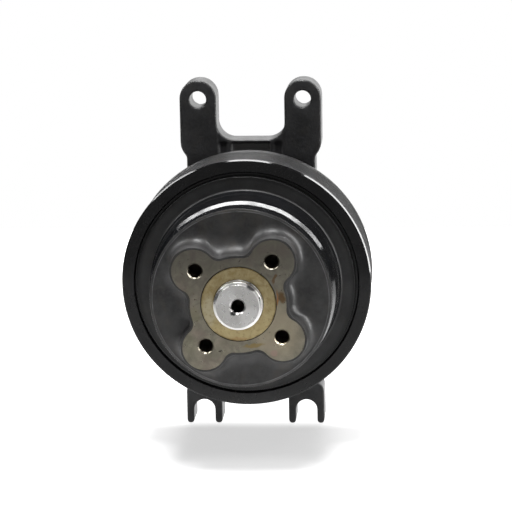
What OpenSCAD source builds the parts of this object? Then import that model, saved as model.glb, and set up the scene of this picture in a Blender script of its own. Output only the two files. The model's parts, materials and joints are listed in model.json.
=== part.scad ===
// Bracket-mounted gear motor that drives a ribbed belt pulley and a four-lobed hub.
// X is to the right, Z is up, and the hub faces -Y. The origin is the centre of the
// hub's four-lobed face. Stations along the shaft are written as the distance in front
// of the bracket's rear face, so the motor behind the bracket has negative stations.

/* [Belt pulley] */
// Outside diameter of the pulley's two flanges
pulley_d = 195.2; // [190:0.1:200]
// Width of the pulley over its flanges
pulley_w = 54; // [52:0.5:58]
// Number of V-ribs on the belt face
rib_count = 12; // [6:1:12]
// Distance from one rib to the next
rib_pitch = 3.56; // [3:0.01:3.6]
// Depth of the grooves between the ribs
rib_depth = 2.4; // [1.5:0.1:2.6]
// Station of the pulley's front face
pulley_front = 97.5; // [97:0.5:99]

/* [Hub] */
// Diameter of the drum at its front edge
drum_d = 137.2; // [136:0.1:142]
// Distance from the pulley's front face to the drum's face
drum_reach = 55; // [53:0.5:57]
// Height of the four-lobed boss above the drum's face
boss_rise = 17.7; // [16:0.1:19]
// Bolt circle of the four tapped holes in the lobes
lobe_pcd = 82; // [78:0.5:84]
// Radius of each lobe
lobe_r = 18.3; // [17:0.1:19]
// Distance that each lobe's centre lies outside its tapped hole
lobe_out = 1; // [0:0.1:2]
// Radius of the boss between the lobes
waist_r = 38.2; // [36:0.1:39]
// Sideways offset of the boss's cast outline from the machined centre
cast_shift_x = -0.3; // [-1:0.1:1]
// Upward offset of the boss's cast outline from the machined centre
cast_shift_z = -1.1; // [-1.5:0.1:1.5]
// Angle by which the lobes are turned from the diagonals
lobe_turn = 6.8; // [0:0.1:20]
// Outside diameter of the sleeve between shaft and hub
sleeve_d = 56.4; // [54:0.1:60]

/* [Output shaft] */
// Diameter of the shaft end that stands out of the hub
stub_d = 36.5; // [34:0.1:38]
// Length of the shaft end in front of the boss
stub_len = 8.5; // [6:0.1:12]

/* [Bracket] */
// Distance between the holes in the two ears
ear_spacing = 84; // [80:1:90]
// Diameter of the ear holes
ear_hole_d = 13.5; // [10.5:0.5:15]
// Height of the ear holes above the shaft axis
ear_rise = 135.4; // [130:0.1:140]
// Width of one ear
ear_w = 29.4; // [27:0.1:31]
// Thickness of the ears and the feet along the shaft
bracket_t = 28; // [26:0.5:28]
// Width of the open slot in each foot
slot_w = 17.3; // [14:0.1:18]
// Height of the slot's closed end below the shaft axis
slot_drop = 112.5; // [110:0.1:115]
// Depth of the feet below the shaft axis
foot_drop = 132.7; // [130:0.1:136]

/* [Gear motor] */
// Number of teeth on each gear
gear_teeth = 12; // [12:1:13]
// Module of the gears
gear_module = 4; // [3.6:0.1:4]
// Width of the gears
gear_w = 32; // [26:0.5:34]
// Thickness of the front and rear covers
cover_t = 26; // [26:0.5:30]
// Length of each bearing block
block_t = 22; // [20:0.5:24]
// Diameter of the gear journals and of the motor shaft
journal_d = 28; // [26:0.5:28]

/* [Hidden] */
$fn = 96;
eps = 0.01;
run_gap = 0.04;
face_gap = 0.05;
fit_gap = 0.02;

// Stations along the shaft
drum_front = pulley_front + drum_reach;
boss_front = drum_front + boss_rise;
stub_front = boss_front + stub_len;
stub_chamfer = 0.7;
pulley_rear = pulley_front - pulley_w;
disc_front = pulley_front + 4;
disc_rear = pulley_front - 10;
sleeve_rear = 136;
nose_flange_t = 12;
nose_front = 134;
rear_seat = 36;
rear_bearing_b = 19;
front_seat = 104;
front_bearing_b = 18;
body_front = -cover_t;
gear_front = body_front - block_t;
gear_rear = gear_front - gear_w;
body_rear = gear_rear - block_t;
motor_rear = body_rear - cover_t;

// Radii about the shaft
pulley_r = pulley_d / 2;
rib_r = pulley_r - 1.2;
disc_r = 86;
drum_r = drum_d / 2;
plate_half_w = 51.8;
stub_r = stub_d / 2;
hub_seat_r = stub_r + 0.25;
nose_r = 49;
nose_flange_r = 64;
nose_bolt_r = 56;
spigot_r = 48;
pilot_r = 50.8;
rear_shaft_r = 22.5;
front_shaft_r = 20;
wear_r = 25;
journal_r = journal_d / 2;
bush_r = journal_r + 1.6;
block_r = gear_module * (gear_teeth / 2 + 1);
centre_distance = gear_module * gear_teeth;
pulley_screw_r = 75;
flange_bolt_x = 73;
flange_boss_r = 14;
m12_tap_r = 5.1;
m8_tap_r = 4 + fit_gap;

// Ball bearings
ball_r = 6;
track_r = ball_r + run_gap;
front_pitch_r = 30;
rear_pitch_r = 32.5;
front_mid = front_seat + front_bearing_b / 2;
rear_mid = rear_seat + rear_bearing_b / 2;
steel = [0.80, 0.81, 0.83];

// Gear motor outline
body_half_w = 47;
body_corner_r = 12;
body_bolt_x = body_half_w - 11;
body_bolt_z = [body_half_w - 11, -centre_distance - body_half_w + 11];
port_station = (gear_front + gear_rear) / 2;
drain_station = body_rear - 13;

// Y coordinate of a station
function y_at(station) = boss_front - station;

// Turns local +Z to the front of the object and local +Y up, with local Z as the station
module facing() { translate([0, boss_front, 0]) rotate([90, 0, 0]) children(); }

// Solid of revolution about the shaft from [radius, station] points
module turned(points) { facing() rotate_extrude() polygon(points); }

// Plain ring between two radii and two stations
module ring(r_in, r_out, rear, front) {
    turned([[r_in, rear], [r_out, rear], [r_out, front], [r_in, front]]);
}

// Drawing in the XZ plane made solid between two stations
module slab(rear, front) {
    facing() translate([0, 0, rear]) linear_extrude(front - rear) children();
}

// Straight round bar or hole along the shaft direction, centred at x, z
module bar(x, z, r, rear, front) {
    facing() translate([x, z, rear]) cylinder(r = r, h = front - rear, $fn = 48);
}

// Copies around the shaft
module around(count, radius, turn = 0) {
    for (i = [0:count - 1]) {
        angle = turn + 360 * i / count;
        translate([radius * cos(angle), 0, radius * sin(angle)]) children();
    }
}

// Left and right copies
module both_sides() {
    children();
    mirror([1, 0, 0]) children();
}

// Socket-head screw on the shaft direction: its head lies in front of head_seat
// when out is 1 and behind it when out is -1, and the shank goes the other way
module socket_screw(d, length, head_seat, out) {
    head_h = d;
    head_rear = out > 0 ? head_seat : head_seat - head_h;
    shank_rear = out > 0 ? head_seat - length : head_seat - eps;
    socket_rear = out > 0 ? head_seat + head_h / 2 : head_seat - head_h - eps;
    difference() {
        union() {
            bar(0, 0, 0.78 * d, head_rear, head_rear + head_h);
            bar(0, 0, d / 2, shank_rear, shank_rear + length + eps);
        }
        facing() translate([0, 0, socket_rear]) cylinder(r = 0.46 * d, h = head_h / 2 + eps, $fn = 6);
    }
}

module washer_at(x, z, r_in, r_out, rear, front) { translate([x, 0, z]) ring(r_in, r_out, rear, front); }

// ---- bracket ----

module ear_shape(half_w) {
    inner_x = ear_spacing / 2 - half_w;
    outer_x = ear_spacing / 2 + half_w;
    corner_r = 16;
    corner_z = 101;
    // the ear's round top sits a little above its hole
    crown_z = ear_rise + 0.7;
    translate([ear_spacing / 2, crown_z]) circle(r = half_w);
    translate([inner_x, corner_z]) square([2 * half_w, crown_z - corner_z]);
    polygon(concat([[inner_x, corner_z], [inner_x, 60], [plate_half_w, 60], [plate_half_w, 87.5]],
        [for (a = [-45:15:0]) [outer_x - corner_r * (1 - cos(a)), corner_z + corner_r * sin(a)]]));
}

module foot_shape() {
    slot_x = ear_spacing / 2;
    outer_x = slot_x + ear_w / 2;
    inner_x = slot_x - ear_w / 2;
    prong_w = (ear_w - slot_w) / 2;
    shoulder_r = 8;
    shoulder_z = -106;
    difference() {
        union() {
            translate([inner_x, -foot_drop + prong_w / 2])
                square([ear_w, shoulder_z + foot_drop - prong_w / 2]);
            translate([inner_x, shoulder_z]) square([outer_x - shoulder_r - inner_x, -50 - shoulder_z]);
            translate([outer_x - shoulder_r, shoulder_z]) circle(r = shoulder_r);
            translate([outer_x - shoulder_r - 1, shoulder_z])
                square([plate_half_w - outer_x + shoulder_r + 1, 60]);
        }
        translate([slot_x, -slot_drop - slot_w / 2]) circle(r = slot_w / 2);
        translate([slot_x - slot_w / 2, -foot_drop - 1])
            square([slot_w, foot_drop - slot_drop - slot_w / 2 + 1]);
    }
    for (x = [inner_x + prong_w / 2, outer_x - prong_w / 2]) {
        translate([x, -foot_drop + prong_w / 2]) circle(r = prong_w / 2, $fn = 40);
    }
}

module saddle_shape(top) {
    inner_x = ear_spacing / 2 - ear_w / 2;
    corner_r = 14;
    lap = 1;
    // the filler stops short of the tangent point, so that no sliver is left there
    filler_h = corner_r - 0.6;
    translate([-inner_x - lap, 40]) square([2 * (inner_x + lap), top - 40]);
    for (side = [-1, 1]) {
        difference() {
            translate([side > 0 ? inner_x - corner_r : -inner_x - lap, top - lap])
                square([corner_r + lap, filler_h + lap]);
            translate([side * (inner_x - corner_r), top + corner_r]) circle(r = corner_r);
        }
    }
}

module mounting_bracket() {
    ring_r = 66;
    saddle_top = 102.5;
    rim_inset = 1.2;
    lip = 2;
    front_pocket = 4;
    rear_pocket = 10;
    pocket_z = 68;
    color([0.13, 0.13, 0.14]) difference() {
        union() {
            slab(0, bracket_t) {
                circle(r = ring_r);
                translate([-flange_bolt_x, -flange_boss_r]) square([2 * flange_bolt_x, 2 * flange_boss_r]);
            }
            both_sides() {
                slab(0, bracket_t) {
                    ear_shape(ear_w / 2);
                    foot_shape();
                    translate([flange_bolt_x, 0]) circle(r = flange_boss_r);
                }
            }
            slab(0, bracket_t - rim_inset) saddle_shape(saddle_top);
        }
        ring(0, pilot_r, -eps, 8);
        ring(0, spigot_r, 7, bracket_t + eps);
        // three front pockets under the saddle, parted by two ribs, and a wide one on the back
        slab(bracket_t - front_pocket, bracket_t + eps)
            translate([-15.6, pocket_z]) square([31.2, saddle_top - pocket_z - lip]);
        both_sides() slab(bracket_t - 0.7 * front_pocket, bracket_t + eps)
            translate([18.4, pocket_z]) square([6.6, saddle_top - pocket_z - lip]);
        slab(-eps, rear_pocket) translate([-24, pocket_z]) square([48, saddle_top - pocket_z - 6]);
        // shallow recess that parts the ears' machined pads from the motor's seat
        slab(-eps, 0.6) translate([-60, 90]) square([120, 26]);
        both_sides() {
            bar(ear_spacing / 2, ear_rise, ear_hole_d / 2, -eps, bracket_t + eps);
            bar(flange_bolt_x, 0, m12_tap_r, -eps, 22);
        }
        around(6, nose_bolt_r, 30) bar(0, 0, m8_tap_r, bracket_t - 18, bracket_t + eps);
    }
}

// ---- bearing nose ----

module bearing_nose() {
    seat_front_r = 40;
    seat_rear_r = 42.5;
    land_r = 38;
    spigot_rear = bracket_t - 10;
    flange_front = bracket_t + nose_flange_t;
    color([0.30, 0.31, 0.33]) difference() {
        turned([[seat_rear_r, spigot_rear], [spigot_r - fit_gap, spigot_rear],
            [spigot_r - fit_gap, bracket_t], [nose_flange_r, bracket_t],
            [nose_flange_r, flange_front - 1], [nose_flange_r - 1, flange_front],
            [nose_r + 0.5, flange_front], [nose_r, flange_front + 0.5],
            [nose_r, nose_front - 2], [nose_r - 2, nose_front], [seat_front_r, nose_front],
            [seat_front_r, front_seat + front_bearing_b + 2.7],
            [seat_front_r + 2, front_seat + front_bearing_b + 2.7],
            [seat_front_r + 2, front_seat + front_bearing_b + 0.1],
            [seat_front_r, front_seat + front_bearing_b + 0.1],
            [seat_front_r, front_seat], [land_r, front_seat],
            [land_r, rear_seat + rear_bearing_b], [seat_rear_r, rear_seat + rear_bearing_b],
            [seat_rear_r, rear_seat - 0.1], [seat_rear_r + 2.5, rear_seat - 0.1],
            [seat_rear_r + 2.5, rear_seat - 3.2], [seat_rear_r, rear_seat - 3.2]]);
        around(6, nose_bolt_r, 30) bar(0, 0, 4.5, bracket_t - 1, flange_front + 1);
    }
}

module nose_bolts() {
    color([0.55, 0.56, 0.58]) around(6, nose_bolt_r, 30)
        socket_screw(8, 28, bracket_t + nose_flange_t, 1);
}

// ---- shaft and hub ----

module output_shaft() {
    centre_r = 5;
    rear_end = 9.5;
    socket_end = 40;
    color([0.78, 0.78, 0.80]) difference() {
        turned([[0, rear_end], [21.5, rear_end], [21.5, 24], [rear_shaft_r, 24],
            [rear_shaft_r, rear_seat + rear_bearing_b], [26, rear_seat + rear_bearing_b],
            [26, front_seat], [front_shaft_r, front_seat], [front_shaft_r, sleeve_rear],
            [hub_seat_r, sleeve_rear], [hub_seat_r, boss_front], [stub_r, boss_front],
            [stub_r, stub_front - stub_chamfer], [stub_r - stub_chamfer, stub_front], [0, stub_front]]);
        ring(0, journal_r + fit_gap, rear_end - 1, socket_end);
        slab(rear_end - 1, 37) translate([-4, 0]) square([8, 17.3]);
        slab(142, 163) translate([-5, stub_r - 4.5]) square([10, 5]);
        facing() translate([0, 0, stub_front - 22]) cylinder(r = centre_r, h = 23);
        facing() translate([0, 0, stub_front - 3]) cylinder(r1 = centre_r, r2 = centre_r + 2.1, h = 3 + eps);
    }
}

module hub_key() {
    color([0.5, 0.5, 0.52]) slab(142.1, 162.9) translate([-4.95, stub_r - 4.4]) square([9.9, 7.9]);
}

module hub_sleeve() {
    color([0.72, 0.64, 0.40]) difference() {
        turned([[hub_seat_r + fit_gap, sleeve_rear + face_gap], [sleeve_d / 2, sleeve_rear + face_gap],
            [sleeve_d / 2, boss_front - 0.5], [sleeve_d / 2 - 0.5, boss_front],
            [hub_seat_r + 0.65, boss_front], [hub_seat_r + fit_gap, boss_front - 0.65]]);
        slab(142, 163) translate([-5, stub_r - 1]) square([10, 4.6]);
    }
}

// Four-lobed outline: lobes about the tapped holes, a round waist, and hollow fillets between
module lobed_shape() {
    pitch = lobe_pcd / 2 + lobe_out;
    blend = 9;
    step = 0.02;
    reach = waist_r + blend;
    tilt = acos((pitch * pitch + reach * reach - pow(lobe_r + blend, 2)) / (2 * pitch * reach));
    circle(r = waist_r);
    for (k = [0:3]) rotate(90 * k) {
        translate([pitch, 0]) circle(r = lobe_r);
        for (side = [-1, 1]) {
            difference() {
                polygon([[0, 0], [pitch, 0], [reach * cos(tilt), side * reach * sin(tilt)]]);
                translate([reach * cos(tilt), side * reach * sin(tilt)]) circle(r = blend - step);
            }
        }
    }
}

module hub_drum() {
    bore_r = sleeve_d / 2 + fit_gap;
    cavity_r = 62;
    wall_rear = drum_front - 10.5;
    root_r = 75.3;
    neck_r = 71.2;
    fillet = [3.5, 6];
    hole_depth = 25;
    color([0.16, 0.16, 0.17]) difference() {
        union() {
            turned([[cavity_r, disc_rear], [disc_r - fit_gap, disc_rear],
                [disc_r - fit_gap, disc_front - 1.5], [disc_r - 1.2, disc_front],
                [root_r + fillet[0], disc_front], [root_r, disc_front + fillet[1]],
                [neck_r, drum_front - 24], [drum_r + 0.4, drum_front - 14], [drum_r, drum_front - 1],
                [drum_r - 1.4, drum_front], [bore_r, drum_front], [bore_r, sleeve_rear + face_gap],
                [bore_r + 11, sleeve_rear + face_gap], [bore_r + 11, wall_rear],
                [cavity_r - 5, wall_rear], [cavity_r, wall_rear - 5]]);
            slab(drum_front - 4, boss_front) translate([cast_shift_x, cast_shift_z])
                rotate(45 + lobe_turn) lobed_shape();
        }
        ring(0, bore_r, drum_front - 12, boss_front + 1);
        around(4, lobe_pcd / 2, 45 + lobe_turn)
            bar(0, 0, m12_tap_r, boss_front - hole_depth, boss_front + 1);
        around(8, pulley_screw_r) bar(0, 0, m8_tap_r, disc_rear - 1, disc_rear + 9);
    }
}

// ---- pulley ----

module belt_pulley() {
    rib_front = (pulley_front + pulley_rear) / 2 + rib_count * rib_pitch / 2;
    rim_r = 88;
    relief = [disc_r + 2, pulley_front - 3.4];
    web_rear = disc_rear - 8.5;
    groove_points = [for (i = [0:rib_count - 1]) for (p = [[rib_r, 0.35], [rib_r - rib_depth, 1.55],
        [rib_r - rib_depth, 2.01], [rib_r, 3.21]]) [p[0], rib_front - rib_pitch * i - p[1]]];
    color([0.12, 0.12, 0.13]) difference() {
        turned(concat([[relief[0], pulley_front], [pulley_r - 1.2, pulley_front],
            [pulley_r, pulley_front - 1.2], [pulley_r, rib_front + 1.4], [rib_r - 0.6, rib_front + 1.4],
            [rib_r - 0.6, rib_front + 0.4], [rib_r, rib_front]],
            groove_points,
            [[rib_r, rib_front - rib_count * rib_pitch], [pulley_r - 0.4, pulley_rear + 4],
            [pulley_r - 0.4, pulley_rear + 1], [pulley_r - 1.4, pulley_rear], [rim_r, pulley_rear],
            [rim_r, web_rear - 3], [rim_r - 3, web_rear], [56, web_rear], [56, disc_rear - fit_gap],
            [disc_r, disc_rear - fit_gap], [disc_r, relief[1]], relief]));
        around(8, pulley_screw_r) bar(0, 0, 4.4, web_rear - 1, disc_rear + 1);
    }
}

module pulley_screws() {
    color([0.5, 0.51, 0.53]) around(8, pulley_screw_r) socket_screw(8, 14, disc_rear - 8.5, -1);
}

// ---- ball bearings ----

module race(r_in, r_out, pitch_r, rear, width) {
    facing() rotate_extrude() difference() {
        translate([r_in, rear]) square([r_out - r_in, width]);
        translate([pitch_r, rear + width / 2]) circle(r = track_r);
    }
}

module balls(count, pitch_r, mid) {
    around(count, pitch_r) facing() translate([0, 0, mid]) sphere(r = ball_r, $fn = 48);
}

module cage(count, pitch_r, mid) {
    half_w = 7.2;
    half_t = 2;
    pocket_r = ball_r + 0.06;
    color([0.70, 0.58, 0.30]) difference() {
        ring(pitch_r - half_t, pitch_r + half_t, mid - half_w, mid + half_w);
        for (i = [0:count - 1]) {
            facing() rotate([0, 0, 360 * i / count]) translate([pitch_r - 2 * half_t, 0, mid])
                rotate([0, 90, 0]) cylinder(r = pocket_r, h = 4 * half_t, $fn = 48);
        }
    }
}

module front_bearing_outer() {
    color(steel) race(33.8, 40 - fit_gap, front_pitch_r, front_seat, front_bearing_b);
}

module front_bearing_inner() {
    color(steel) race(front_shaft_r + fit_gap, 26.2, front_pitch_r, front_seat, front_bearing_b);
}

module front_bearing_cage() { cage(9, front_pitch_r, front_mid); }
module front_bearing_balls() { color(steel) balls(9, front_pitch_r, front_mid); }

module rear_bearing_outer() {
    color(steel) race(36.4, 42.5 - fit_gap, rear_pitch_r, rear_seat, rear_bearing_b);
}

module rear_bearing_inner() {
    color(steel) race(rear_shaft_r + fit_gap, 28.6, rear_pitch_r, rear_seat, rear_bearing_b);
}

module rear_bearing_cage() { cage(10, rear_pitch_r, rear_mid); }
module rear_bearing_balls() { color(steel) balls(10, rear_pitch_r, rear_mid); }

// Internal retaining ring, open at the bottom
module circlip(r_in, r_out, rear, front) {
    color([0.35, 0.35, 0.37]) difference() {
        ring(r_in, r_out, rear, front);
        slab(rear - 1, front + 1) translate([-6, -r_out - 1]) square([12, r_out]);
    }
}

module front_circlip() {
    seat = front_seat + front_bearing_b;
    circlip(36, 41.9, seat + 0.15, seat + 2.65);
}

module rear_circlip() { circlip(38.5, 44.9, rear_seat - 3.15, rear_seat - 0.15); }

module wear_sleeve() {
    color([0.75, 0.75, 0.77])
        ring(front_shaft_r + fit_gap, wear_r, front_seat + front_bearing_b, sleeve_rear);
}

// Rotary lip seal: stiff case, flexible lip, open towards the bearing
module lip_seal(shaft_radius, case_radius, rear, front) {
    lip_r = shaft_radius + run_gap;
    color([0.10, 0.08, 0.07]) turned([[case_radius, rear], [case_radius, front],
        [shaft_radius + 3, front], [lip_r, front - 1.5], [lip_r, front - 2.5],
        [lip_r + 1.6, front - 3.5], [lip_r, front - 5], [lip_r + 2, rear + 0.8],
        [shaft_radius + 3.4, rear + 0.8], [shaft_radius + 3.4, front - 2.5],
        [case_radius - 1.8, front - 2.5], [case_radius - 1.8, rear]]);
}

module nose_seal() { lip_seal(wear_r, 40 - fit_gap, 125, 133); }

module locknut() {
    nut_front = rear_seat - 1.3;
    nut_rear = nut_front - 10;
    color([0.45, 0.46, 0.48]) difference() {
        ring(rear_shaft_r + fit_gap, 32.5, nut_rear, nut_front);
        for (a = [0:90:270]) {
            rotate([0, a, 0]) slab(nut_rear - 1, nut_front + 1) translate([-3.5, 29.5]) square([7, 6]);
        }
    }
}

module lock_washer() {
    color([0.6, 0.6, 0.62]) ring(rear_shaft_r + fit_gap, 31, rear_seat - 1.25, rear_seat);
}

// ---- gears ----

function involute(r_base, r) = let (a = acos(min(1, r_base / r))) tan(a) * 180 / PI - a;

// Closed outline of a spur gear with one tooth on the +X axis
function gear_outline(teeth, module_size) =
    let (pitch_r = teeth * module_size / 2,
        pressure = 25,
        backlash = 0.2,
        r_base = pitch_r * cos(pressure),
        r_tip = pitch_r + module_size - 0.06,
        r_root = pitch_r - 1.25 * module_size,
        half_pitch = 90 / teeth - backlash / 2 / pitch_r * 180 / PI + involute(r_base, pitch_r),
        steps = 6,
        flank = concat([[r_root, half_pitch + 1.5]], [for (i = [0:steps])
            let (r = r_base + (r_tip - r_base) * i / steps) [r, half_pitch - involute(r_base, r)]]))
    [for (t = [0:teeth - 1]) for (side = [-1, 1]) for (i = [0:steps + 1])
        let (p = flank[side < 0 ? i : steps + 1 - i], a = 360 * t / teeth + side * p[1])
        [p[0] * cos(a), p[0] * sin(a)]];

module gear_solid(turn) {
    slab(gear_rear + face_gap, gear_front - face_gap)
        rotate(turn) polygon(gear_outline(gear_teeth, gear_module));
}

module drive_gear() {
    shaft_front = 38;
    color([0.62, 0.63, 0.66]) difference() {
        union() {
            gear_solid(-90);
            turned([[0, body_rear + 2], [journal_r, body_rear + 2], [journal_r, shaft_front - 1.5],
                [journal_r - 1.5, shaft_front], [0, shaft_front]]);
        }
        slab(12, 37) translate([-4, journal_r - 4]) square([8, 6]);
    }
}

module idler_gear() {
    color([0.60, 0.61, 0.64]) translate([0, 0, -centre_distance]) {
        gear_solid(90 + 180 / gear_teeth);
        ring(0, journal_r, body_rear + 2, body_front - 2);
    }
}

module drive_key() {
    color([0.5, 0.5, 0.52]) slab(12.1, 36.9) translate([-3.95, journal_r - 3.9]) square([7.9, 7.1]);
}

// ---- gear motor casing ----

// Figure-eight outline about the two gear axes
module figure_eight(r) {
    circle(r = r);
    translate([0, -centre_distance]) circle(r = r);
}

// Figure-eight with its waist filled in to a half width, for seals
module long_eight(r, waist) {
    figure_eight(r);
    translate([-waist, -centre_distance]) square([2 * waist, centre_distance]);
}

module body_shape() {
    low = -centre_distance - body_half_w;
    c = body_corner_r;
    translate([-body_half_w + c, low]) square([2 * body_half_w - 2 * c, body_half_w - low]);
    translate([-body_half_w, low + c]) square([2 * body_half_w, body_half_w - low - 2 * c]);
    for (x = [-1, 1]) for (z = [low + c, body_half_w - c]) {
        translate([x * (body_half_w - c), z]) circle(r = c);
    }
}

// Two-bolt mounting flange: a round plate drawn out to a bolt boss on each side
module flange_shape() {
    plate_r = 58;
    tangent = acos((plate_r - flange_boss_r) / flange_bolt_x);
    // the straight flanks lie a little inside the two circles, so that they cross them cleanly
    near_r = plate_r - 0.05;
    far_r = flange_boss_r - 0.05;
    circle(r = plate_r);
    for (side = [-1, 1]) {
        translate([side * flange_bolt_x, 0]) circle(r = flange_boss_r);
        polygon([for (p = [[0, 0], [near_r * cos(tangent), near_r * sin(tangent)],
            [flange_bolt_x + far_r * cos(tangent), far_r * sin(tangent)],
            [flange_bolt_x + far_r * cos(tangent), -far_r * sin(tangent)],
            [near_r * cos(tangent), -near_r * sin(tangent)]]) [side * p[0], p[1]]]);
    }
}

module body_bolt_places() {
    for (x = [-1, 1]) for (z = body_bolt_z) translate([x * body_bolt_x, 0, z]) children();
}

module dowel_places() {
    for (p = [[-40, -centre_distance / 2 + 22], [40, -centre_distance / 2 - 22]]) {
        translate([p[0], 0, p[1]]) children();
    }
}

// Groove for the figure-eight seal between a cover and the gear body
module seal_groove(rear, front) {
    slab(rear, front) difference() {
        long_eight(34, 27);
        long_eight(31, 24);
    }
}

module front_cover() {
    flange_t = 16;
    seal_r = 20;
    color([0.24, 0.25, 0.27]) difference() {
        union() {
            slab(-flange_t, 0) flange_shape();
            slab(body_front, 0) body_shape();
            ring(0, pilot_r - fit_gap, -1, 7.5);
        }
        ring(0, seal_r, -13, 8);
        ring(0, 21, -5, -3.2);
        ring(0, journal_r + 1, body_front - 1, -12);
        facing() translate([0, -centre_distance, body_front - 1]) cylinder(r = journal_r + 1, h = 3);
        seal_groove(body_front - eps, body_front + 2);
        both_sides() bar(flange_bolt_x, 0, 6.75, -flange_t - 1, 1);
        body_bolt_places() bar(0, 0, 4.25, body_front - 1, -6);
        dowel_places() bar(0, 0, 4, body_front - 1, body_front + 8);
    }
}

module gear_body() {
    thread_r = 12.2;
    passage_r = 9;
    face_x = body_half_w;
    color([0.22, 0.23, 0.25]) difference() {
        slab(body_rear, body_front) body_shape();
        slab(body_rear - 1, body_front + 1) figure_eight(block_r);
        for (side = [-1, 1])
            translate([0, y_at(port_station), -centre_distance / 2]) rotate([0, side * 90, 0]) {
                cylinder(r = passage_r, h = face_x + 1);
                translate([0, 0, face_x - 17]) cylinder(r = thread_r, h = 18);
            }
        body_bolt_places() bar(0, 0, 5.5, body_rear - 1, body_front + 1);
        dowel_places() {
            bar(0, 0, 4, body_front - 8, body_front + 1);
            bar(0, 0, 4, body_rear - 1, body_rear + 8);
        }
    }
}

module rear_cover() {
    drain_r = 5.9;
    color([0.24, 0.25, 0.27]) difference() {
        union() {
            slab(motor_rear + 4, body_rear) body_shape();
            slab(motor_rear, motor_rear + 4.5) figure_eight(38);
        }
        seal_groove(body_rear - 2, body_rear + eps);
        for (z = [0, -centre_distance]) facing() translate([0, z, body_rear - 3]) cylinder(r = 15, h = 4);
        body_bolt_places() bar(0, 0, 5.5, motor_rear - 1, body_rear + 1);
        dowel_places() bar(0, 0, 4, body_rear - 8, body_rear + 1);
        translate([0, y_at(drain_station), body_half_w - 13]) cylinder(r = drain_r, h = 14);
        translate([0, y_at(drain_station), body_half_w - 20]) cylinder(r = 3, h = 10);
    }
}

// Bearing block in the figure-eight chamber, with its bores and a seal groove
module bearing_block(rear, front, groove_rear, groove_front) {
    color([0.75, 0.72, 0.66]) difference() {
        slab(rear, front) figure_eight(block_r - 0.03);
        for (z = [0, -centre_distance]) bar(0, z, bush_r, rear - 1, front + 1);
        slab(groove_rear, groove_front) difference() {
            long_eight(24.5, 12);
            long_eight(21.5, 9);
        }
    }
}

module front_bearing_block() {
    bearing_block(gear_front, body_front - fit_gap, body_front - 2, body_front);
}
module rear_bearing_block() {
    bearing_block(body_rear + fit_gap, gear_rear, body_rear, body_rear + 2);
}

module bearing_bushes() {
    color([0.72, 0.50, 0.30]) for (z = [0, -centre_distance]) for (rear = [gear_front, body_rear]) {
        washer_at(0, z, journal_r + run_gap, bush_r - fit_gap, rear + 1, rear + block_t - 1);
    }
}

// Flat seal along a filled figure-eight: its outer radius and the outer half width of its waist
module eight_seal(outer, waist, rear, front) {
    seal_w = 2.6;
    color([0.09, 0.09, 0.10]) slab(rear, front) difference() {
        long_eight(outer, waist);
        long_eight(outer - seal_w, waist - seal_w);
    }
}

module front_pressure_seal() { eight_seal(24.3, 11.8, body_front - 1.9, body_front); }
module rear_pressure_seal() { eight_seal(24.3, 11.8, body_rear, body_rear + 1.9); }
module front_body_seal() { eight_seal(33.8, 26.8, body_front, body_front + 1.9); }
module rear_body_seal() { eight_seal(33.8, 26.8, body_rear - 1.9, body_rear); }
module motor_shaft_seal() { lip_seal(journal_r, 20 - fit_gap, -13, -5.2); }
module seal_circlip() { circlip(16.5, 20.9, -4.9, -3.3); }

module dowel_pins() {
    color([0.7, 0.7, 0.72]) dowel_places() {
        bar(0, 0, 4 - fit_gap, body_front - 7.5, body_front + 7.5);
        bar(0, 0, 4 - fit_gap, body_rear - 7.5, body_rear + 7.5);
    }
}

module through_bolts() {
    washer_t = 2;
    bolt_seat = motor_rear + 4 - washer_t;
    color([0.5, 0.51, 0.53]) body_bolt_places() difference() {
        union() {
            facing() translate([0, 0, bolt_seat - 6.4]) cylinder(r = 9.2, h = 6.4, $fn = 6);
            bar(0, 0, 4.2, bolt_seat - eps, -8);
        }
        facing() translate([0, 0, bolt_seat - 6.5]) cylinder(r = 5, h = 0.5);
    }
}

module through_washers() {
    color([0.68, 0.69, 0.71]) for (x = [-1, 1]) for (z = body_bolt_z) {
        washer_at(x * body_bolt_x, z, 5.3, 10, motor_rear + 2, motor_rear + 4);
    }
}

module flange_bolts() {
    seat = -16 - 2.5;
    color([0.5, 0.51, 0.53]) both_sides() translate([flange_bolt_x, 0, 0]) {
        facing() translate([0, 0, seat - 7.5]) cylinder(r = 10.4, h = 7.5, $fn = 6);
        bar(0, 0, 5.08, seat - eps, 19);
    }
}

module flange_washers() {
    color([0.68, 0.69, 0.71]) both_sides() washer_at(flange_bolt_x, 0, 6.5, 12, -18.5, -16);
}

module drain_plug() {
    seat = body_half_w + 1.5;
    color([0.62, 0.63, 0.65]) translate([0, y_at(drain_station), 0]) difference() {
        union() {
            translate([0, 0, seat - 11]) cylinder(r = 5.85, h = 11 + eps);
            translate([0, 0, seat]) cylinder(r = 9, h = 3);
        }
        translate([0, 0, seat]) cylinder(r = 3.46, h = 4, $fn = 6);
    }
}

module drain_seal() {
    color([0.72, 0.45, 0.25]) translate([0, y_at(drain_station), body_half_w]) difference() {
        cylinder(r = 8.8, h = 1.5);
        translate([0, 0, -1]) cylinder(r = 6.1, h = 4);
    }
}

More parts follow.
